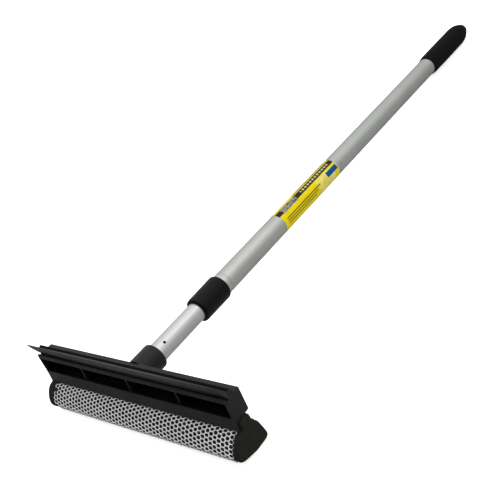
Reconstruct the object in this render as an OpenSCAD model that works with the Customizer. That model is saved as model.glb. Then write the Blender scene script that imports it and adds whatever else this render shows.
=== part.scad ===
// Telescopic window squeegee: a moulded head with a rubber blade and a netted sponge, on a two-tube pole
// with a twist-lock collar. X runs along the head, Y along the pole towards the grip, and Z towards the blade.
// The origin is on the pole's axis, in the middle of the bare tube between the label and the grip.

/* [Head] */
// Length of the head
head_len = 256; // [200:1:360]
// Depth of the head's box, front to back
head_depth = 19; // [18:0.5:22]
// Height of the back of the box above the pole's axis
head_top = 12; // [11.7:0.1:12.4]
// Depth of the box's underside below the pole's axis
head_bottom = 12.9; // [12.5:0.1:14]
// How far the blade stands out past each end of the head
blade_past_head = 0.5; // [0:0.5:2]
// Wall thickness of the box
head_wall = 1.8; // [1.5:0.1:2]
// Length of the socket behind the head
socket_len = 24.5; // [22:0.5:32]
// Outside diameter of the socket at its rim
socket_d = 27.3; // [25:0.1:28]

/* [Sponge] */
// Thickness of the net round the sponge
net_t = 0.8; // [0.6:0.1:1.2]
// How far the foam stands out past each end of the head
foam_past_head = 2.5; // [0.5:0.5:5]
// How far the foam shows past the net at each end
foam_past_net = 4.5; // [1:0.5:8]

/* [Pole] */
// Outside diameter of the outer tube
outer_d = 24; // [24:0.1:24.2]
// Outside diameter of the inner tube
inner_d = 20.5; // [20.2:0.1:20.5]
// Wall thickness of both tubes
tube_wall = 0.8; // [0.7:0.05:0.8]
// Inner tube that shows between the socket and the collar
exposed_len = 65; // [20:1:400]
// Collar to label distance
collar_to_label = 110; // [60:0.5:200]
// Length of the label
label_len = 116; // [60:1:160]
// Bare tube between the label and the grip
clip_len = 263.5; // [150:0.5:400]

/* [Collar and grip] */
// Outside diameter of the lock collar at its upper rim
collar_d = 28.2; // [28.2:0.2:30]
// Length of the lock collar
collar_len = 40.5; // [38:0.5:60]
// Outside diameter of the grip
grip_d = 28; // [27:0.5:34]
// Length of the grip sleeve
grip_len = 113.5; // [90:0.5:150]

/* [Hidden] */

$fn = 64;
cut = 1;          // overrun of a cutting tool past the face it cuts

// Places along the pole
grip_y = clip_len / 2;                           // mouth of the grip
label_y = -clip_len / 2 - label_len;             // lower end of the label
collar_end_y = label_y - collar_to_label;        // upper end of the collar
collar_y = collar_end_y - collar_len;            // mouth of the collar, towards the head
socket_y = collar_y - exposed_len;               // rim of the socket
head_y = socket_y - socket_len;                  // back face of the head
outer_tube_y = collar_y + 16;                    // lower end of the outer tube, inside the collar
grip_end_y = grip_y + grip_len;                  // upper end of the grip sleeve
outer_tube_end_y = grip_end_y - 11;              // upper end of the outer tube, inside the grip
roll_y = collar_end_y + 6.2;                     // rolled ring that holds the ferrule
inner_tube_y = head_y + 1;                       // lower end of the inner tube, at the socket's floor
plug_y = outer_tube_end_y - 80;                  // upper end of the inner tube

// Radii of the tubes
outer_r = outer_d / 2;
outer_bore_r = outer_r - tube_wall;
inner_r = inner_d / 2;
inner_bore_r = inner_r - tube_wall;

// Blade channel: a T-slot between the front and back rails
rail_top = head_top + 1.6;                       // top of the front rail
front_rail_t = 2;
front_rail_edge = 1.7;                           // radius of the front rail's rounded top
back_rail_t = 4.7;
channel_floor = head_top - 3.2;
lip_z = head_top - 1.1;                          // underside of the two lips that hold the blade's foot
lip_t = 1;
lip_len = 2;
slot_front = -head_depth + front_rail_t;         // front wall of the channel
slot_back = -back_rail_t;                        // back wall of the channel

// Box
window_top = head_top - 2.5;                     // lower edge of the front rail
lip_top = -head_bottom + 5.5;                    // upper edge of the front lip
front_lip_z = -head_bottom - 8.4;                // lower edge of the front lip
lip_lean = 0.7;                                  // how far the front lip leans forward
corner_r = 1.6;                                  // rounded lower back corner
end_wall = 1.8;
rib_t = 1.8;
rib_front = -head_depth + 1.8;                   // the ribs stand back from the front face
rib_pitch = head_len * 0.253;
floor_top = -head_bottom + head_wall;
strip_front = -15;                               // sponge strip on the box's floor
strip_back = -6;
strip_t = 2;
fin_y = -10.5;                                   // the strip's fin, in the sponge's tongue
fin_t = 0.8;
tongue_t = 4;
neck_front = -17;                                // the sponge's neck, where it goes into the head
neck_back = -2.8;
foam_len = head_len + 2 * foam_past_head;

// Rivet under the socket
rivet_y = head_y + 13;
rivet_r = 1.6;
rivet_head_r = 3.2;
rivet_seat = socket_d / 2 - 0.4;

// Lock
fit = 0.05;                                      // running clearance on a radius
lock_turn = 120;                                 // from locked to loose, in degrees
lock_lead = 3;                                   // travel of the collet per turn of the collar
lock_travel = lock_lead * lock_turn / 360;
collar_lip = 2.2;
collet_y = collar_y + collar_lip + lock_travel + 0.3;
collet_len = 11;
collet_thread_r = 12.1;
collet_thread_len = 5;
collet_tip_r = 11.1;
seat_gap = 0.08;                                 // between the collet's cone and its seat
ferrule_head_r = 12.9;
ferrule_head_len = 7;
key_w = 1;

// Collar: its rounded upper rim is shared with the liner
collar_edge = 2.6;
collar_flare = 0.4;                              // how much smaller the collar's radius is at its mouth
collar_edge_r = collar_d / 2 - collar_edge;
collar_bore_r = ferrule_head_r + 0.15;
liner_angle = acos((collar_bore_r - collar_edge_r) / collar_edge);

// Cap in the grip's end
cap_r = 9.2;                                     // hole in the sleeve's end, filled by the cap

// Upper end of the inner tube
plug_flange = 1.5;
spindle_r = 8;
spindle_len = 8.5;
ring_gap = 0.5;

// The sponge's outline with its net, in Y and Z from the head's back face: neck, front, underside, back
SPONGE = [[neck_front, -head_bottom], [-17.4, front_lip_z - 0.3], [-24, -23.2], [-28.5, -27.2], [-32.5, -33],
          [-35, -39.5], [-34.2, -44], [-31, -46.8], [-24, -48.9], [-13, -51.2], [3.5, -51.2], [6.8, -49.2], [7.2, -47.2],
          [3.8, -31.2], [2.4, -27.3], [-0.3, -24.7], [-2.6, -20.3], [neck_back, -head_bottom]];

// The blade's outline: foot, neck, a bead along the back, the wedge, and its lower front corner
BLADE = [[slot_front + 0.2, channel_floor + 0.1], [slot_back - 0.2, channel_floor + 0.1],
         [slot_back - 0.2, lip_z - 0.1], [-7, lip_z - 0.1], [-7, rail_top + 1], [-9.6, 18.9], [-10.2, 19.5],
         [-11, 19.5], [-12.6, 18.4], [-22, 30.4], [-22.7, 30.2], [-20, 23.2], [-15.6, 14.1],
         [-14.4, lip_z + lip_t + 0.4],
         [-14.8, lip_z + lip_t], [-14.8, lip_z - 0.1], [slot_front + 0.2, lip_z - 0.1]];

// Points of an arc, in steps that suit a small fillet
function arc(centre, r, from, to, steps = 6) =
    [for (i = [0:steps]) centre + r * [cos(from + (to - from) * i / steps), sin(from + (to - from) * i / steps)]];

// Outward normal of the edge from a to b, in an outline that runs anticlockwise
function edge_normal(a, b) = let (d = (b - a) / norm(b - a)) [d[1], -d[0]];

// The outline moved inwards by gap
function inset(outline, gap) = let (n = len(outline))
    [for (i = [0:n - 1])
        let (before = edge_normal(outline[(i + n - 1) % n], outline[i]),
             after = edge_normal(outline[i], outline[(i + 1) % n]),
             between = before + after)
        outline[i] - gap * 2 * between / (between * between)];

// Turns a profile of [radius, Y] points round the pole's axis
module turned(profile) {
    rotate([90, 0, 0]) mirror([0, 0, 1]) rotate_extrude() polygon(profile);
}

// A round bar or bore along the pole
module rod(r, from, to) {
    translate([0, from, 0]) rotate([-90, 0, 0]) cylinder(r = r, h = to - from);
}

// Extrudes a profile of [Y, Z] points along the head, from the head's back face
module along_head(len) {
    translate([0, head_y, 0]) rotate([90, 0, 90]) linear_extrude(height = len, center = true) children();
}

// A rectangle between two corners
module area(low, high) {
    translate(low) square(high - low);
}

module rails() {
    along_head(head_len) {
        area([-back_rail_t, channel_floor - head_wall], [0, head_top]);
        area([-back_rail_t - lip_len, lip_z], [-back_rail_t + cut, lip_z + lip_t]);
        area([slot_front - cut, lip_z], [slot_front + lip_len, lip_z + lip_t]);
        area([slot_front - 0.1, channel_floor - head_wall], [-head_wall, channel_floor]);
        polygon(concat([[slot_front, channel_floor - head_wall], [slot_front, rail_top]],
                       arc([-head_depth + front_rail_edge, rail_top - front_rail_edge], front_rail_edge, 90, 180),
                       [[-head_depth, window_top], [slot_front - 0.4, channel_floor - head_wall]]));
    }
}

module box_walls() {
    along_head(head_len) {
        area([-head_wall, -head_bottom], [0, head_top]);
        area([-head_depth, -head_bottom], [0, floor_top]);
        polygon([[-head_depth, lip_top], [-head_depth - lip_lean, front_lip_z],
                 [slot_front - lip_lean, front_lip_z], [slot_front, lip_top]]);
    }
    for (side = [-1, 1])
        translate([side * (head_len - end_wall) / 2, 0, 0])
            along_head(end_wall) {
                area([-head_depth, -head_bottom], [0, channel_floor]);
                area([-head_depth, -head_bottom], [slot_front, window_top]);
            }
    for (i = [-1:1])
        translate([i * rib_pitch, 0, 0])
            along_head(rib_t) area([rib_front, -head_bottom], [0, channel_floor - head_wall / 2]);
}

module socket() {
    r = socket_d / 2;
    edge = 1.6;
    root_r = head_top - 1;
    turned(concat([[0, head_y - head_wall / 2], [root_r, head_y - head_wall / 2], [root_r, head_y], [r, head_y]],
                  arc([r - edge, socket_y - edge], edge, 0, 90), [[0, socket_y]]));
}

module head_holder() {
    color([0.10, 0.10, 0.10])
        difference() {
            union() {
                rails();
                box_walls();
                socket();
            }
            rod(inner_r + fit, inner_tube_y, socket_y + cut);
            // Room for the sponge strip through the ribs, and the slot under it for the sponge's tongue
            along_head(head_len - 2 * end_wall - 2)
                area([strip_front - 0.2, floor_top], [strip_back + 0.2, floor_top + strip_t + 0.2]);
            along_head(head_len - 20)
                area([fin_y - tongue_t / 2, -head_bottom - cut], [fin_y + tongue_t / 2, floor_top + cut / 2]);
            // Rounded corner between the back and the underside
            along_head(head_len + 2 * cut) difference() {
                area([-corner_r, -head_bottom - cut], [cut, -head_bottom + corner_r]);
                translate([-corner_r, -head_bottom + corner_r]) circle(r = corner_r);
            }
            // Rivet hole with a flat seat
            translate([0, rivet_y, -socket_d]) cylinder(r = rivet_r + fit, h = socket_d);
            translate([0, rivet_y, -socket_d]) cylinder(r = rivet_head_r + 0.2, h = socket_d - rivet_seat);
        }
}

module rubber_blade() {
    color([0.13, 0.13, 0.13]) along_head(head_len + 2 * blade_past_head) polygon(BLADE);
}

module foam_sponge() {
    color([0.27, 0.27, 0.26])
        difference() {
            union() {
                along_head(foam_len) polygon(inset(SPONGE, net_t));
                along_head(head_len - 21)
                    area([fin_y - tongue_t / 2 + 0.1, -head_bottom - net_t - cut],
                         [fin_y + tongue_t / 2 - 0.1, floor_top]);
            }
            along_head(head_len) area([fin_y - fin_t / 2, floor_top - 2.5], [fin_y + fin_t / 2, floor_top + cut]);
        }
}

module sponge_net() {
    color([0.92, 0.92, 0.90])
        along_head(foam_len - 2 * foam_past_net)
            difference() {
                polygon(SPONGE);
                polygon(inset(SPONGE, net_t));
                // Open at the top, where the neck goes into the head
                area([neck_front + net_t, -head_bottom - 2 * net_t], [neck_back - net_t, -head_bottom + cut]);
            }
}

module sponge_strip() {
    color([0.20, 0.20, 0.20]) {
        along_head(head_len - 2 * end_wall - 3)
            area([strip_front, floor_top], [strip_back, floor_top + strip_t]);
        along_head(head_len - 24)
            area([fin_y - fin_t / 2, floor_top - 2.4], [fin_y + fin_t / 2, floor_top + strip_t / 2]);
    }
}

module socket_rivet() {
    tail_z = -inner_bore_r;
    color("silver") translate([0, rivet_y, 0]) {
        translate([0, 0, -rivet_seat]) cylinder(r = rivet_r, h = rivet_seat + tail_z + 0.4);
        translate([0, 0, -rivet_seat - 0.9]) cylinder(r1 = rivet_head_r - 0.8, r2 = rivet_head_r, h = 0.9);
        translate([0, 0, tail_z + 0.3]) cylinder(r = rivet_r + 0.9, h = 1.1);
    }
}

module inner_tube() {
    vent_y = socket_y + 10.7;
    vent_r = 1.5;
    vent_angle = 39;
    color([0.78, 0.79, 0.79])
        difference() {
            rod(inner_r, inner_tube_y, plug_y);
            rod(inner_bore_r, inner_tube_y - cut, plug_y + cut);
            translate([0, vent_y, 0]) rotate([0, vent_angle, 0]) cylinder(r = vent_r, h = outer_d);
            translate([0, rivet_y, -outer_d]) cylinder(r = rivet_r + fit, h = outer_d);
        }
}

module inner_tube_plug() {
    bore_len = 22;
    color([0.15, 0.15, 0.15])
        turned([[0, plug_y - bore_len], [inner_bore_r - 1, plug_y - bore_len], [inner_bore_r, plug_y - bore_len + 2],
                [inner_bore_r, plug_y], [inner_r - 0.1, plug_y], [inner_r - 0.1, plug_y + plug_flange],
                [spindle_r, plug_y + plug_flange], [spindle_r, plug_y + plug_flange + spindle_len],
                [spindle_r + 1.8, plug_y + plug_flange + spindle_len],
                [spindle_r + 1.2, plug_y + 2 * plug_flange + spindle_len],
                [0, plug_y + 2 * plug_flange + spindle_len]]);
}

module guide_ring() {
    from = plug_y + plug_flange + ring_gap;
    to = plug_y + plug_flange + spindle_len - ring_gap;
    split = 1.5;
    color([0.85, 0.85, 0.82])
        difference() {
            rod(outer_bore_r - 2 * fit, from, to);
            rod(spindle_r + 2 * fit, from - cut, to + cut);
            translate([0, from - cut, -split / 2]) cube([outer_d, to - from + 2 * cut, split]);
        }
}

module ferrule() {
    head_from = outer_tube_y - ferrule_head_len;
    seat_to = collet_y + collet_len + 0.3;
    tail_to = roll_y + 4;
    bore_r = inner_r + 2 * fit;
    color([0.12, 0.12, 0.12])
        difference() {
            turned([[bore_r, head_from], [ferrule_head_r, head_from], [ferrule_head_r, outer_tube_y],
                    [outer_bore_r, outer_tube_y], [outer_bore_r, roll_y - 1], [outer_bore_r - 0.35, roll_y - 0.5],
                    [outer_bore_r - 0.35, roll_y + 0.5], [outer_bore_r, roll_y + 1], [outer_bore_r, tail_to],
                    [bore_r, tail_to]]);
            collet_cone(seat_gap, seat_to);
        }
    // Two keys that stand in the collet's slots and stop it turning
    color([0.12, 0.12, 0.12])
        for (side = [-1, 1])
            translate([side * (collet_tip_r + 0.55), (head_from + seat_to) / 2 + 0.6, 0])
                cube([1.7, seat_to - head_from - 1, key_w], center = true);
}

// The cone that the collet and its seat share
module collet_cone(gap, to) {
    cone_from = collet_y + collet_thread_len;
    cone_to = collet_y + collet_len;
    turned([[0, cone_from], [collet_thread_r + gap, cone_from], [collet_tip_r + gap, cone_to],
            [collet_tip_r + gap, to], [0, to]]);
}

module collet() {
    color([0.88, 0.87, 0.84])
        difference() {
            union() {
                rod(collet_thread_r, collet_y, collet_y + collet_thread_len);
                collet_cone(0, collet_y + collet_len);
            }
            rod(inner_r + fit, collet_y - cut, collet_y + collet_len + cut);
            for (turn = [0, 90])
                translate([0, collet_y + collet_len / 2 + 2, 0]) rotate([0, turn, 0])
                    cube([2 * outer_d, collet_len, key_w + 0.5], center = true);
        }
}

module lock_collar() {
    mouth_r = inner_r + 0.4;
    thread_r = collet_thread_r + fit;
    shoulder_y = outer_tube_y - ferrule_head_len - 0.3;
    color([0.07, 0.08, 0.08])
        turned(concat([[mouth_r, collar_y + collar_lip], [mouth_r, collar_y + 0.6], [mouth_r + 0.6, collar_y]],
                      arc([collar_edge_r - collar_flare, collar_y + collar_edge], collar_edge, -90, 0),
                      arc([collar_edge_r, collar_end_y - collar_edge], collar_edge, 0, liner_angle),
                      [[collar_bore_r, shoulder_y], [thread_r, shoulder_y], [thread_r, collar_y + collar_lip]]));
}

module collar_liner() {
    from = outer_tube_y + 0.3;
    bore_r = outer_r + 2 * fit;
    color([0.07, 0.08, 0.08])
        turned(concat([[bore_r, from], [collar_bore_r, from]],
                      arc([collar_edge_r, collar_end_y - collar_edge], collar_edge, liner_angle, 70, 3),
                      [[bore_r, collar_end_y - 0.6]]));
}

module outer_tube() {
    depth = 0.35;
    color([0.70, 0.71, 0.70])
        turned([[outer_bore_r, outer_tube_y], [outer_r, outer_tube_y], [outer_r, roll_y - 1],
                [outer_r - depth, roll_y - 0.5], [outer_r - depth, roll_y + 0.5], [outer_r, roll_y + 1],
                [outer_r, outer_tube_end_y], [outer_bore_r, outer_tube_end_y], [outer_bore_r, roll_y + 1],
                [outer_bore_r - depth, roll_y + 0.5], [outer_bore_r - depth, roll_y - 0.5],
                [outer_bore_r, roll_y - 1]]);
}

module label() {
    color([0.93, 0.78, 0.10])
        difference() {
            rod(outer_r + 0.15, label_y, label_y + label_len);
            rod(outer_r, label_y - cut, label_y + label_len + cut);
        }
}

// The grip's rounded end: half an ellipse that starts nose_len before the sleeve's end
module grip_sleeve() {
    r = grip_d / 2;
    nose_len = 21.5;
    nose_height = 30;
    nose_y = grip_end_y - nose_len;
    end_angle = asin(nose_len / nose_height);
    color([0.09, 0.09, 0.08])
        turned(concat([[outer_r, grip_y], [outer_r + 0.4, grip_y], [r - 0.9, grip_y + 2.5], [r - 0.45, grip_y + 5.5],
                       [r - 0.25, grip_y + 9], [r, (grip_y + nose_y) / 2]],
                      [for (i = [0:10])
                          [r * cos(i * end_angle / 10), nose_y + nose_height * sin(i * end_angle / 10)]],
                      [[cap_r, grip_end_y], [cap_r, outer_tube_end_y], [outer_r, outer_tube_end_y]]));
}

module grip_end_cap() {
    dome = 9;
    plug_from = outer_tube_end_y - 8;
    color([0.03, 0.03, 0.03])
        turned(concat([[0, plug_from], [outer_bore_r - 1, plug_from], [outer_bore_r, plug_from + 2],
                       [outer_bore_r, outer_tube_end_y], [cap_r, outer_tube_end_y]],
                      [for (a = [0:10:90]) [cap_r * cos(a), grip_end_y + dome * sin(a)]]));
}

head_holder();
rubber_blade();
foam_sponge();
sponge_net();
sponge_strip();
socket_rivet();
inner_tube();
inner_tube_plug();
guide_ring();
ferrule();
collet();
lock_collar();
collar_liner();
outer_tube();
label();
grip_sleeve();
grip_end_cap();
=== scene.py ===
"""Looks of the telescopic window squeegee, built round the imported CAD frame. Metres, in the frame's axes:
X along the head, Y along the pole towards the grip, Z towards the blade."""

import math
import random

import bmesh
import bpy
from mathutils import Matrix, Vector, noise


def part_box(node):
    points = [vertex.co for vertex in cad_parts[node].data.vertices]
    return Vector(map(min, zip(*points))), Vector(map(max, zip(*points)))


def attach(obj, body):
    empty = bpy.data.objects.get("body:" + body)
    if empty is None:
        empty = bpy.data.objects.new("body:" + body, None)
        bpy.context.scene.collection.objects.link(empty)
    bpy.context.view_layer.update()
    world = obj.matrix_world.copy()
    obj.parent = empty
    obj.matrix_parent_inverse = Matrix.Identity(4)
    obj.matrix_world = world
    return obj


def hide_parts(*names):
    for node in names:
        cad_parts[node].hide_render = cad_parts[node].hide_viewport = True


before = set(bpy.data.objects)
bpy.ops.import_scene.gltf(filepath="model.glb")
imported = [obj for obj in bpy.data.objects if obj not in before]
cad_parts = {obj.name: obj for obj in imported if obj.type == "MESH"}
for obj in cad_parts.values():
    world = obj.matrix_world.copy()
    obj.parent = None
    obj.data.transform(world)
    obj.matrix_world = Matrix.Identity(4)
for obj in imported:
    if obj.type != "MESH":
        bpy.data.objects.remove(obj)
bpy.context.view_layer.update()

MM = 0.001
SEED = 11

# The camera, as the photograph was taken: where it stands, which way it looks and how it is rolled
EYE = Vector((0.5694, -0.8152, 0.4241))
LOOK = Vector((-0.6508, 0.5881, -0.4795))
ROLL = math.radians(-23.2)
LENS = 59.5
SENSOR = 36.0

# The room's brightness against the height of a direction, and against its depth: 0 in front of the head,
# 1 behind the grip
ROOM_HEIGHT = ((0.0, 0.50), (0.35, 0.68), (0.6, 0.90), (0.9, 1.0))
ROOM_DEPTH = ((0.1, 0.4), (0.55, 1.0), (0.75, 1.0), (0.92, 0.62))
ROOM_LIGHT = 1.5
KEY_LIGHT = 3

# How pale the floor is for the light that it sends back, against the place along the pole
FLOOR_TONES = ((-0.58, 0.30), (-0.45, 0.58), (-0.1, 0.56), (0.5, 0.36))
# The glow that makes the floor white where it is seen directly
FLOOR_LIFT = 0.68
FLOOR_SIZE = 30
FLOOR_GAP = 0.2 * MM


# --- Node helpers ----------------------------------------------------------------------------------------


def tint(color, share):
    return [share * c for c in color]


def set_stops(ramp, stops):
    """Fills a colour ramp; stops are (position, colour or grey level)."""
    points = ramp.color_ramp.elements
    while len(points) < len(stops):
        points.new(0.5)
    for point, (position, color) in zip(points, stops):
        point.position = position
        point.color = (*color, 1) if hasattr(color, "__len__") else (color, color, color, 1)


def mix_node(tree, blend):
    """The sockets of a new colour Mix node: its factor, its two colours and its result."""
    made = tree.nodes.new("ShaderNodeMix")
    made.data_type = "RGBA"
    made.blend_type = blend
    return made.inputs[0], made.inputs[6], made.inputs[7], made.outputs[2]


class Shader:
    """A material with one Principled shader, and short calls for the nodes that feed it."""

    def __init__(self, name, color, roughness, **inputs):
        self.material = bpy.data.materials.new(name)
        self.material.use_nodes = True
        self.tree = self.material.node_tree
        self.bsdf = self.tree.nodes["Principled BSDF"]
        self.bsdf.inputs["Base Color"].default_value = (*color, 1)
        self.bsdf.inputs["Roughness"].default_value = roughness
        for key, value in inputs.items():
            self.bsdf.inputs[key.replace("_", " ")].default_value = value
        coordinates = self.tree.nodes.new("ShaderNodeTexCoord").outputs
        self.place = coordinates["Object"]
        self.facing = coordinates["Normal"]

    def node(self, kind, **links):
        made = self.tree.nodes.new(kind)
        for key, value in links.items():
            self.feed(made.inputs[key.replace("_", " ")], value)
        return made

    def feed(self, socket, value):
        if isinstance(value, bpy.types.NodeSocket):
            self.tree.links.new(value, socket)
        else:
            socket.default_value = value

    def math(self, operation, *values):
        made = self.tree.nodes.new("ShaderNodeMath")
        made.operation = operation
        for socket, value in zip(made.inputs, values):
            self.feed(socket, value)
        return made.outputs[0]

    def axes(self, vector):
        """The three parts of a vector, by the names X, Y and Z."""
        return self.node("ShaderNodeSeparateXYZ", Vector=vector).outputs

    def scaled(self, x, y, z):
        """The object's coordinates, multiplied along each axis."""
        made = self.tree.nodes.new("ShaderNodeVectorMath")
        made.operation = "MULTIPLY"
        self.feed(made.inputs[0], self.place)
        made.inputs[1].default_value = (x, y, z)
        return made.outputs[0]

    def noise(self, scale, detail=3.0, roughness=0.5, vector=None):
        made = self.node("ShaderNodeTexNoise", Scale=scale, Detail=detail, Roughness=roughness)
        self.feed(made.inputs["Vector"], vector or self.place)
        return made.outputs["Fac"]

    def cells(self, scale):
        made = self.node("ShaderNodeTexVoronoi", Scale=scale, Vector=self.place)
        return made.outputs["Distance"]

    def ramp(self, value, *stops):
        """A colour or grey ramp; stops are (position, colour or grey level)."""
        made = self.node("ShaderNodeValToRGB", Fac=value)
        set_stops(made, stops)
        return made.outputs["Color"]

    def remap(self, value, low, high, to_low, to_high):
        made = self.node("ShaderNodeMapRange", Value=value)
        made.inputs["From Min"].default_value = low
        made.inputs["From Max"].default_value = high
        made.inputs["To Min"].default_value = to_low
        made.inputs["To Max"].default_value = to_high
        return made.outputs["Result"]

    def mix(self, factor, first, second):
        *sockets, result = mix_node(self.tree, "MIX")
        for socket, value in zip(sockets, (factor, first, second)):
            if hasattr(value, "__len__") and not isinstance(value, bpy.types.NodeSocket):
                value = (*value, 1)
            self.feed(socket, value)
        return result

    def color(self, value):
        self.tree.links.new(value, self.bsdf.inputs["Base Color"])

    def roughness(self, value):
        self.tree.links.new(value, self.bsdf.inputs["Roughness"])

    def bump(self, height, depth, strength):
        """Adds a bump of that depth in metres on top of those already there."""
        made = self.tree.nodes.new("ShaderNodeBump")
        made.inputs["Strength"].default_value = strength
        made.inputs["Distance"].default_value = depth
        self.tree.links.new(height, made.inputs["Height"])
        before = self.bsdf.inputs["Normal"]
        if before.is_linked:
            self.tree.links.new(before.links[0].from_socket, made.inputs["Normal"])
        self.tree.links.new(made.outputs["Normal"], before)


# --- Materials -------------------------------------------------------------------------------------------


def aluminium(name, color):
    """Drawn tube: satin metal with fine lines along it, and faint cloudiness."""
    s = Shader(name, color, 0.36, Metallic=1.0)
    lines = s.noise(1.0, 4.0, 0.65, s.scaled(2600, 9, 2600))
    clouds = s.noise(38, 3.0)
    tone = s.ramp(clouds, (0.3, tint(color, 0.93)), (0.7, color))
    s.color(s.mix(s.remap(lines, 0.35, 0.7, 0, 0.35), tone, tint(color, 0.82)))
    s.roughness(s.remap(lines, 0.3, 0.7, 0.33, 0.46))
    s.bump(lines, 0.02 * MM, 0.35)
    return s.material


def moulded_plastic(name, color, roughness, grain=0.03, specular=0.3, depth=0.0):
    """Injection-moulded plastic: a fine spark grain and slow changes of gloss.
    Recesses narrower than depth get painted shade: ambient occlusion darkens the base colour."""
    s = Shader(name, color, roughness, Specular_IOR_Level=specular)
    fine = s.noise(1500, 2.0)
    slow = s.noise(30, 3.0)
    tone = s.mix(s.remap(slow, 0.35, 0.75, 0, 1), color, tint(color, 1.35))
    if depth:
        # Painted shade: ambient occlusion darkens the base colour in recesses, where shade falls
        shade = s.node("ShaderNodeAmbientOcclusion", Distance=depth)
        shade.samples = 8
        tone = s.mix(s.remap(shade.outputs["AO"], 0.25, 0.75, 0, 1), tint(color, 0.06), tone)
    s.color(tone)
    s.roughness(s.remap(slow, 0.3, 0.7, roughness - 0.06, roughness + 0.08))
    s.bump(fine, grain * MM, 0.5)
    return s.material


def blade_rubber(name, color):
    """Extruded rubber: dull, with faint lines along it. The wedge's front has a grey bloom with painted
    highlights; the faces turned towards the pole and the foot behind the wedge get painted shade, near
    black.
    """
    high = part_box("rubber_blade")[1]
    s = Shader(name, color, 0.5, Specular_IOR_Level=0.2)
    lines = s.noise(1.0, 3.0, 0.6, s.scaled(8, 900, 900))
    streaks = s.noise(1.0, 3.0, 0.6, s.scaled(16, 520, 520))
    place = s.axes(s.place)
    facing = s.axes(s.facing)
    # Painted shade, near black: on the faces turned towards the pole, and on the foot behind the wedge
    turned_back = s.remap(facing["Y"], 0.1, 0.3, 0, 1)
    foot = s.remap(place["Y"], high.y - 10 * MM, high.y - 9.2 * MM, 0, 1)
    painted_shade_mask = s.math("MAXIMUM", turned_back, foot)
    # The grey bloom comes in streaks that are partly painted highlight; a painted highlight lies evenly
    # along the lip, and a painted highlight is strongest in the middle of the blade
    bloom_and_highlight = s.mix(s.remap(streaks, 0.42, 0.68, 0, 1), color, tint(color, 2.4))
    # Painted highlight: an even lighter band along the lip
    lip_highlight = s.remap(place["Z"], high.z - 3 * MM, high.z - 1 * MM, 0, 1)
    bloom_and_highlight = s.mix(lip_highlight, bloom_and_highlight, tint(color, 1.8))
    # Painted highlight: lightest in the middle of the blade, darker towards its ends
    sideways = s.math("ABSOLUTE", s.math("DIVIDE", place["X"], 1.15 * high.x))
    middle = s.remap(s.math("SUBTRACT", 1.0, sideways), 0.1, 0.6, 0, 1)
    bloom_and_highlight = s.mix(middle, tint(color, 0.35), bloom_and_highlight)
    cut_end = s.math("GREATER_THAN", s.math("ABSOLUTE", facing["X"]), 0.7)
    s.color(s.mix(cut_end, s.mix(painted_shade_mask, bloom_and_highlight, tint(color, 0.03)), tint(color, 0.5)))
    s.roughness(s.math("MAXIMUM", painted_shade_mask, s.remap(lines, 0.3, 0.7, 0.42, 0.6)))
    s.bump(lines, 0.03 * MM, 0.5)
    return s.material


def open_foam(name, color):
    """Open-cell foam: cells under a millimetre, dark in their pits, with small pale specks."""
    s = Shader(name, color, 0.95, Specular_IOR_Level=0.1)
    pits = s.cells(1300)
    larger = s.cells(520)
    specks = s.noise(900, 1.0)
    tone = s.ramp(pits, (0.0, tint(color, 1.9)), (0.55, color), (1.0, tint(color, 0.4)))
    s.color(s.mix(s.remap(specks, 0.66, 0.74, 0, 0.5), tone, tint(color, 5)))
    s.bump(pits, 0.5 * MM, 0.8)
    s.bump(larger, 0.5 * MM, 0.5)
    return s.material


def net_yarn(name, color):
    """Bright polyester yarn: many fine twisted filaments."""
    s = Shader(name, color, 0.5, Sheen_Weight=0.25, Sheen_Roughness=0.5)
    strands = s.noise(2600, 2.0)
    soil = s.noise(60, 3.0)
    s.color(s.mix(s.remap(soil, 0.35, 0.8, 0, 0.6), color, tint(color, 0.86)))
    s.bump(strands, 0.12 * MM, 0.7)
    return s.material


def foam_rubber(name, color):
    """Closed-cell grip: a dull skin with a fine pebble."""
    s = Shader(name, color, 0.72, Specular_IOR_Level=0.06)
    pebble = s.cells(1100)
    slow = s.noise(45, 3.0)
    s.color(s.mix(s.remap(slow, 0.35, 0.7, 0, 1), color, tint(color, 1.5)))
    s.roughness(s.remap(slow, 0.3, 0.7, 0.64, 0.8))
    s.bump(pebble, 0.12 * MM, 0.6)
    s.bump(slow, 0.2 * MM, 0.4)
    return s.material


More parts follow.
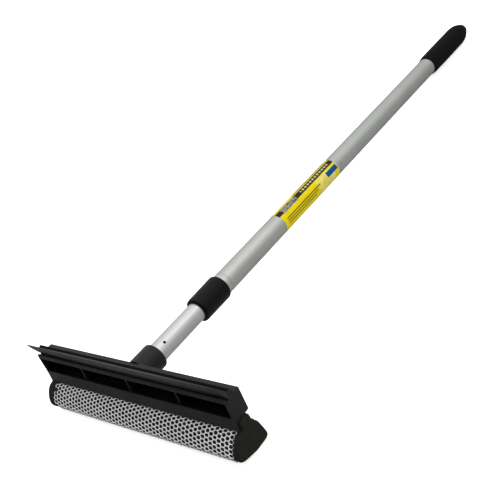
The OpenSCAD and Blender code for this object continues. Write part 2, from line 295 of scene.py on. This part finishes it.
def label_print(name):
    """The wrap-round film: plain fields and bars on yellow. A field's place is its degrees round the tube,
    with 90 on top, and its share of the label's length, with 1 at the grip's end."""
    yellow, bright_yellow = (0.74, 0.58, 0.0), (0.86, 0.70, 0.0)
    pale, blue, dark = (0.80, 0.75, 0.42), (0.0, 0.075, 0.26), (0.012, 0.012, 0.014)
    dash_tone, rule_tone, brown = (0.62, 0.56, 0.22), (0.02, 0.02, 0.01), (0.13, 0.08, 0.005)
    speck, speck_gap = (0.36, 0.36, 0.33), (0.04, 0.04, 0.045)
    dash_count, rule_count = 22, 1.3 * 22
    low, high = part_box("label")
    s = Shader(name, (0.9, 0.72, 0.02), 0.32, Specular_IOR_Level=0.12)
    place = s.axes(s.place)
    along = s.remap(place["Y"], low.y, high.y, 0.0, 1.0)
    turn = s.math("MULTIPLY", s.math("ARCTAN2", place["Z"], place["X"]), 180 / math.pi)

    def band(value, start, end):
        return s.math("MULTIPLY", s.math("GREATER_THAN", value, start), s.math("LESS_THAN", value, end))

    def patch(angles, lengths):
        return s.math("MULTIPLY", band(turn, *angles), band(along, *lengths))

    def dashed(angles, lengths, count, filled):
        dash = s.math("FRACT", s.math("MULTIPLY", along, count))
        return s.math("MULTIPLY", patch(angles, lengths), s.math("LESS_THAN", dash, filled))

    tone = s.mix(s.remap(s.noise(60), 0.35, 0.7, 0, 1), yellow, bright_yellow)
    # A pale cloudy field next to the blue one
    clouds = s.remap(s.noise(120), 0.35, 0.65, 0.1, 0.8)
    tone = s.mix(s.math("MULTIPLY", patch((-60, 50), (0.62, 0.92)), clouds), tone, pale)
    tone = s.mix(patch((13, 43), (0.80, 0.99)), tone, blue)
    # The dark band, with a row of light dashes and a grey speckled field
    tone = s.mix(patch((57, 90), (0.0, 1.0)), tone, dark)
    tone = s.mix(dashed((67, 80), (0.42, 0.93), dash_count, 0.55), tone, dash_tone)
    speckle = s.mix(s.remap(s.noise(520, 2.0), 0.4, 0.6, 0, 1), speck_gap, speck)
    tone = s.mix(patch((54, 91), (0.08, 0.33)), tone, speckle)
    # A dashed rule above the dark band, and three brown rules below it
    tone = s.mix(dashed((97, 116), (0.34, 0.96), rule_count, 0.6), tone, rule_tone)
    for middle, end in ((24, 0.66), (11, 0.60), (-3, 0.56)):
        tone = s.mix(patch((middle - 3, middle + 3), (0.05, end)), tone, brown)
    s.color(tone)
    s.roughness(s.remap(s.noise(200), 0.3, 0.7, 0.27, 0.38))
    s.bump(s.noise(90), 0.05 * MM, 0.3)
    return s.material


def floor_paint(name, front_y):
    """White where it is seen directly. For the light that it sends back, it is darker towards both ends."""
    s = Shader(name, (0.92, 0.92, 0.92), 0.9, Specular_IOR_Level=0.1)
    seen = s.node("ShaderNodeLightPath").outputs["Is Camera Ray"]
    start, end = FLOOR_TONES[0][0], FLOOR_TONES[-1][0]
    tones = [((y - start) / (end - start), tone) for y, tone in FLOOR_TONES]
    along = s.math("ADD", s.axes(s.place)["Y"], front_y)
    bounced = s.ramp(s.remap(along, start, end, 0, 1), *tones)
    s.color(s.mix(seen, bounced, s.ramp(s.noise(3), (0.3, 0.93), (0.7, 0.94))))
    s.bsdf.inputs["Emission Color"].default_value = (1, 1, 1, 1)
    s.feed(s.bsdf.inputs["Emission Strength"], s.math("MULTIPLY", seen, FLOOR_LIFT))
    return s.material


# --- Mesh helpers ----------------------------------------------------------------------------------------


def mesh_object(name, vertices, faces, material):
    """A smooth-shaded object with its doubled points merged and its normals turned outwards."""
    mesh = bpy.data.meshes.new(name)
    mesh.from_pydata([tuple(v) for v in vertices], [], faces)
    mesh.validate()
    made = bpy.data.objects.new(name, mesh)
    bpy.context.scene.collection.objects.link(made)
    bm = bmesh.new()
    bm.from_mesh(mesh)
    bmesh.ops.remove_doubles(bm, verts=bm.verts, dist=1e-7)
    bmesh.ops.recalc_face_normals(bm, faces=bm.faces)
    bm.to_mesh(mesh)
    bm.free()
    for polygon in mesh.polygons:
        polygon.use_smooth = True
    mesh.materials.append(material)
    return made


def join_rings(faces, first, second, count):
    """Adds the faces between two rings of points, given the number of each ring's first point."""
    for j in range(count):
        k = (j + 1) % count
        faces.append((first + j, first + k, second + k, second + j))


def outline_of(node):
    """The outline of an extruded node, from the middle of its neck round the front: a list of (y, z)."""
    vertices = [v.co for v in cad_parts[node].data.vertices]
    end = max(v.x for v in vertices)
    points = {(round(v.y, 6), round(v.z, 6)) for v in vertices if v.x > end - 1e-5}
    centre = Vector((sum(p[0] for p in points), sum(p[1] for p in points))) / len(points)

    def turn_from_top(p):
        return (math.atan2(p[1] - centre.y, p[0] - centre.x) - math.pi / 2 + 2 * math.pi) % (2 * math.pi)

    return [Vector(p) for p in sorted(points, key=turn_from_top)]


def lengths_along(points):
    """How far along its line each point lies."""
    made = [0.0]
    for a, b in zip(points, points[1:]):
        made.append(made[-1] + (b - a).length)
    return made


def walk(points, step):
    """Points at an even step along an open line."""
    lengths = lengths_along(points)
    count = max(2, round(lengths[-1] / step))
    made, at = [], 0
    for i in range(count + 1):
        want = lengths[-1] * i / count
        while at < len(points) - 2 and lengths[at + 1] < want:
            at += 1
        span = lengths[at + 1] - lengths[at]
        made.append(points[at].lerp(points[at + 1], (want - lengths[at]) / span))
    return made


def rounded(points, passes, closed):
    """The line with its corners softened by averaging neighbours; an open line keeps its ends."""
    for _ in range(passes):
        n = len(points)
        inner = [(points[i - 1] + 2 * points[i] + points[(i + 1) % n]) / 4 for i in range(n)]
        points = inner if closed else [points[0], *inner[1:-1], points[-1]]
    return points


# --- Scene -----------------------------------------------------------------------------------------------


def floor():
    """A plain pale floor. The squeegee lies on it on its sponge and its grip."""
    net_low, net_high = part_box("sponge_net")
    grip_low, grip_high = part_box("grip_sleeve")
    front = Vector((0, net_high.y - 3 * MM, net_low.z - FLOOR_GAP))
    back = Vector((0, grip_high.y - 24 * MM, grip_low.z - FLOOR_GAP))
    bpy.ops.mesh.primitive_plane_add(size=FLOOR_SIZE, location=front)
    plane = bpy.context.object
    plane.name = "floor"
    plane.rotation_euler.x = math.atan2(back.z - front.z, back.y - front.y)
    plane.data.materials.append(floor_paint("floor_white", front.y))


def area_light(name, place, target, size, power):
    data = bpy.data.lights.new(name, "AREA")
    data.shape = "RECTANGLE"
    data.size, data.size_y = size
    data.energy = power
    made = bpy.data.objects.new(name, data)
    made.location = place
    made.rotation_euler = (Vector(target) - Vector(place)).to_track_quat("-Z", "Y").to_euler()
    bpy.context.scene.collection.objects.link(made)


def studio():
    """A pale room: brighter overhead than near the horizon, and dimmer behind the grip."""
    world = bpy.data.worlds.new("studio")
    bpy.context.scene.world = world
    world.use_nodes = True
    tree = world.node_tree
    axes = tree.nodes.new("ShaderNodeSeparateXYZ")
    tree.links.new(tree.nodes.new("ShaderNodeTexCoord").outputs["Generated"], axes.inputs[0])
    depth = tree.nodes.new("ShaderNodeMapRange")
    depth.inputs["From Min"].default_value = -1
    tree.links.new(axes.outputs["Y"], depth.inputs["Value"])
    factor, *shades, product = mix_node(tree, "MULTIPLY")
    factor.default_value = 1
    levels = ((axes.outputs["Z"], ROOM_HEIGHT), (depth.outputs["Result"], ROOM_DEPTH))
    for shade, (value, stops) in zip(shades, levels):
        ramp = tree.nodes.new("ShaderNodeValToRGB")
        set_stops(ramp, stops)
        tree.links.new(value, ramp.inputs["Fac"])
        tree.links.new(ramp.outputs["Color"], shade)
    background = tree.nodes["Background"]
    tree.links.new(product, background.inputs["Color"])
    background.inputs["Strength"].default_value = ROOM_LIGHT
    area_light("key", (0.40, 0.10, 1.38), (0.05, -0.2, 0), (1.1, 1.3), KEY_LIGHT)
    bpy.context.scene.view_settings.view_transform = "Standard"


def camera():
    data = bpy.data.cameras.new("camera")
    data.lens = LENS
    data.sensor_width = SENSOR
    data.clip_start, data.clip_end = 0.05, 60
    made = bpy.data.objects.new("camera", data)
    bpy.context.scene.collection.objects.link(made)
    aim = LOOK.to_track_quat("-Z", "Y").to_matrix().to_4x4()
    made.matrix_world = Matrix.Translation(EYE) @ aim @ Matrix.Rotation(ROLL, 4, "Z")
    bpy.context.scene.camera = made


def paint(material, *nodes):
    for node in nodes:
        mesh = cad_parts[node].data
        mesh.materials.clear()
        mesh.materials.append(material)


# --- The sponge ------------------------------------------------------------------------------------------


def foam_stations(half):
    """The sections across the foam, from its right end to its left: (x, how far the outline is drawn in).
    The right end has a soft edge, and the left end a sharper one."""
    edge = 2.2 * MM
    left_edge = 0.45
    steps = 80
    right = [(half - edge + edge * math.sin(a), edge * (1 - math.cos(a)))
             for a in (math.radians(d) for d in (90, 70, 50, 30, 10))]
    middle = [((half - edge) * (1 - 2 * i / steps), 0.0) for i in range(1, steps)]
    left = [(-x, left_edge * inset) for x, inset in reversed(right)]
    return right + middle + left


def foam(material):
    """The foam block: soft ends, an uneven surface and a left end that is cut at a slant."""
    bump, bump_scale, bump_middle = 0.25 * MM, 140, 0.1 * MM
    end_bump, end_scale = 0.5 * MM, 120
    slant, slant_height, slant_start, slant_share = 1.2 * MM, 8 * MM, 0.93, 0.07
    low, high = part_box("foam_sponge")
    slant_middle = low.z + 15.5 * MM
    half = (high.x - low.x) / 2
    outline = outline_of("foam_sponge")
    ring = rounded(walk(outline + outline[:1], 1.6 * MM)[:-1], 2, closed=True)
    centre = sum(ring, Vector((0, 0))) / len(ring)
    count = len(ring)
    stations = foam_stations(half)
    vertices, faces = [], []
    for x, inset in stations:
        for p in ring:
            out = (p - centre).normalized()
            q = p - out * inset
            q = q + out * (noise.noise(Vector((x, q.x, q.y)) * bump_scale) * bump - bump_middle)
            # The left end stands out more at the top than at the bottom
            near_end = max(0.0, -x / half - slant_start) / slant_share
            lean = near_end * max(-1.0, min(1.0, (q.y - slant_middle) / slant_height))
            vertices.append((x - slant * lean, q.x, q.y))
    for i in range(len(stations) - 1):
        join_rings(faces, i * count, (i + 1) * count, count)
    # Each end: rings that shrink to the middle
    for end, first in ((1, 0), (-1, (len(stations) - 1) * count)):
        last = first
        for share in (0.8, 0.6, 0.4, 0.2):
            start = len(vertices)
            for j in range(count):
                rim = Vector(vertices[first + j])
                q = Vector((rim.x, centre.x, centre.y)).lerp(rim, share)
                q.x += end * (end_bump * (1 - share) + noise.noise(q * end_scale) * end_bump - end_bump)
                vertices.append(q)
            join_rings(faces, last, start, count)
            last = start
        vertices.append((end * half, centre.x, centre.y))
        for j in range(count):
            faces.append((last + j, last + (j + 1) % count, len(vertices) - 1))
    made = mesh_object("foam_body", vertices, faces, material)
    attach(made, "extension")
    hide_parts("foam_sponge")
    return made


def net_path():
    """The net's line round the sponge, from the neck's front to its back: evenly spaced points (y, z)."""
    outline = outline_of("sponge_net")
    neck = max(p.y for p in outline) - 0.1 * MM
    front = min((i for i, p in enumerate(outline) if p.y > neck), key=lambda i: outline[i].x)
    line = outline[front:] + outline[:front]
    back = max(i for i, p in enumerate(line) if p.y > neck)
    return rounded(walk(line[: back + 1], 0.8 * MM), 4, closed=False)


def laid_on(path):
    """A function that lays a flat place (x, s) on the path at a height over it, and the path's length."""
    lengths = lengths_along(path)
    total = lengths[-1]

    def place(x, s, height):
        s = min(max(s, 0.0), total - 1e-9)
        i = min(int(s / total * (len(path) - 1)), len(path) - 2)
        t = (s - lengths[i]) / (lengths[i + 1] - lengths[i])
        before, after = path[max(i - 1, 0)], path[min(i + 2, len(path) - 1)]
        along = (after - before).normalized()
        p = path[i].lerp(path[i + 1], t) + Vector((along.y, -along.x)) * height
        return Vector((x, p.x, p.y))

    return place, total


def cell_outline(column, pitch):
    """A cell of the lattice round its middle: the six corners and the middles of the six sides."""
    third, half = column / 3, pitch / 2
    corners = [Vector(p) for p in ((2 * third, 0), (third, half), (-third, half),
                                   (-2 * third, 0), (-third, -half), (third, -half))]
    return [q for a, b in zip(corners, corners[1:] + corners[:1]) for q in (a, (a + b) / 2)]


def net(material):
    """The knitted net: a lattice of round holes in half-round yarn, wrapped over the foam. Its left edge is
    one column short, and the last column there has gaps."""
    pitch, column = 4.15 * MM, 4.7 * MM
    hole = Vector((2.28, 1.64)) * MM
    thick = 0.75 * MM
    # The yarn's section: shares of the way from the cell's outline to the hole, and of the thickness
    section = ((0, 1.0), (0.55, 0.82), (1.0, 0.35), (1.0, 0.0), (0, 0.0))
    # The top of the yarn is higher at the knots than between them
    top_levels, knot, strand = 2, 1.15, 0.9
    gaps = 0.25
    margin = 0.45 * column
    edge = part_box("sponge_net")[1].x
    place, total = laid_on(net_path())
    rim = cell_outline(column, pitch)
    points = len(rim)
    angles = [math.radians(360 / points * k) for k in range(points)]
    columns = int((edge - margin) / column)
    rows = round(total / pitch)
    rng = random.Random(SEED)
    vertices, faces = [], []
    for c in range(1 - columns, columns + 1):
        for r in range(rows + 1):
            x, s = c * column, (r + 0.5 * (c % 2)) * pitch
            if s < 0.5 * pitch or s > total - 0.5 * pitch:
                continue
            if c == 1 - columns and rng.random() < gaps:
                continue
            wide, tall = hole.x * rng.uniform(0.94, 1.04), hole.y * rng.uniform(0.94, 1.06)
            base = len(vertices)
            for level, (share, lift) in enumerate(section):
                for k, a in enumerate(angles):
                    q = rim[k].lerp(Vector((wide * math.cos(a), tall * math.sin(a))), share)
                    top = (strand if k % 2 else knot) if level < top_levels else 1
                    vertices.append(place(x + q.x, s + q.y, -thick + lift * thick * top))
            for level in range(len(section) - 1):
                join_rings(faces, base + level * points, base + (level + 1) * points, points)
    made = mesh_object("net_mesh", vertices, faces, material)
    bm = bmesh.new()
    bm.from_mesh(made.data)
    bmesh.ops.remove_doubles(bm, verts=bm.verts, dist=0.02 * MM)
    open_edges = [e for e in bm.edges if e.is_boundary]
    bmesh.ops.holes_fill(bm, edges=open_edges, sides=4)
    bm.to_mesh(made.data)
    bm.free()
    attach(made, "extension")
    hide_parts("sponge_net")
    return made


# --- Build -----------------------------------------------------------------------------------------------

# The head's plastic gets painted shade in recesses within 25 mm
head_black = moulded_plastic("head_plastic", (0.006, 0.006, 0.0062), 0.45, specular=0.2, depth=25 * MM)
collar_black = moulded_plastic("collar_plastic", (0.002, 0.002, 0.0022), 0.42, 0.02, specular=0.1)
cap_black = moulded_plastic("cap_plastic", (0.001, 0.001, 0.001), 0.25, 0.01, specular=0.06)
paint(head_black, "head_holder", "sponge_strip", "inner_tube_plug", "ferrule")
paint(blade_rubber("blade_rubber", (0.044, 0.044, 0.041)), "rubber_blade")
paint(aluminium("inner_aluminium", (0.50, 0.51, 0.50)), "inner_tube")
paint(aluminium("outer_aluminium", (0.44, 0.45, 0.43)), "outer_tube")
paint(aluminium("rivet_metal", (0.72, 0.72, 0.73)), "socket_rivet")
paint(collar_black, "lock_collar", "collar_liner")
paint(moulded_plastic("nylon", (0.72, 0.70, 0.65), 0.5), "collet", "guide_ring")
paint(label_print("label_film"), "label")
paint(foam_rubber("grip_foam_rubber", (0.003, 0.003, 0.0028)), "grip_sleeve")
paint(cap_black, "grip_end_cap")

foam(open_foam("foam", (0.018, 0.0185, 0.015)))
net(net_yarn("net_mesh", (0.90, 0.91, 0.94)))

floor()
studio()
camera()
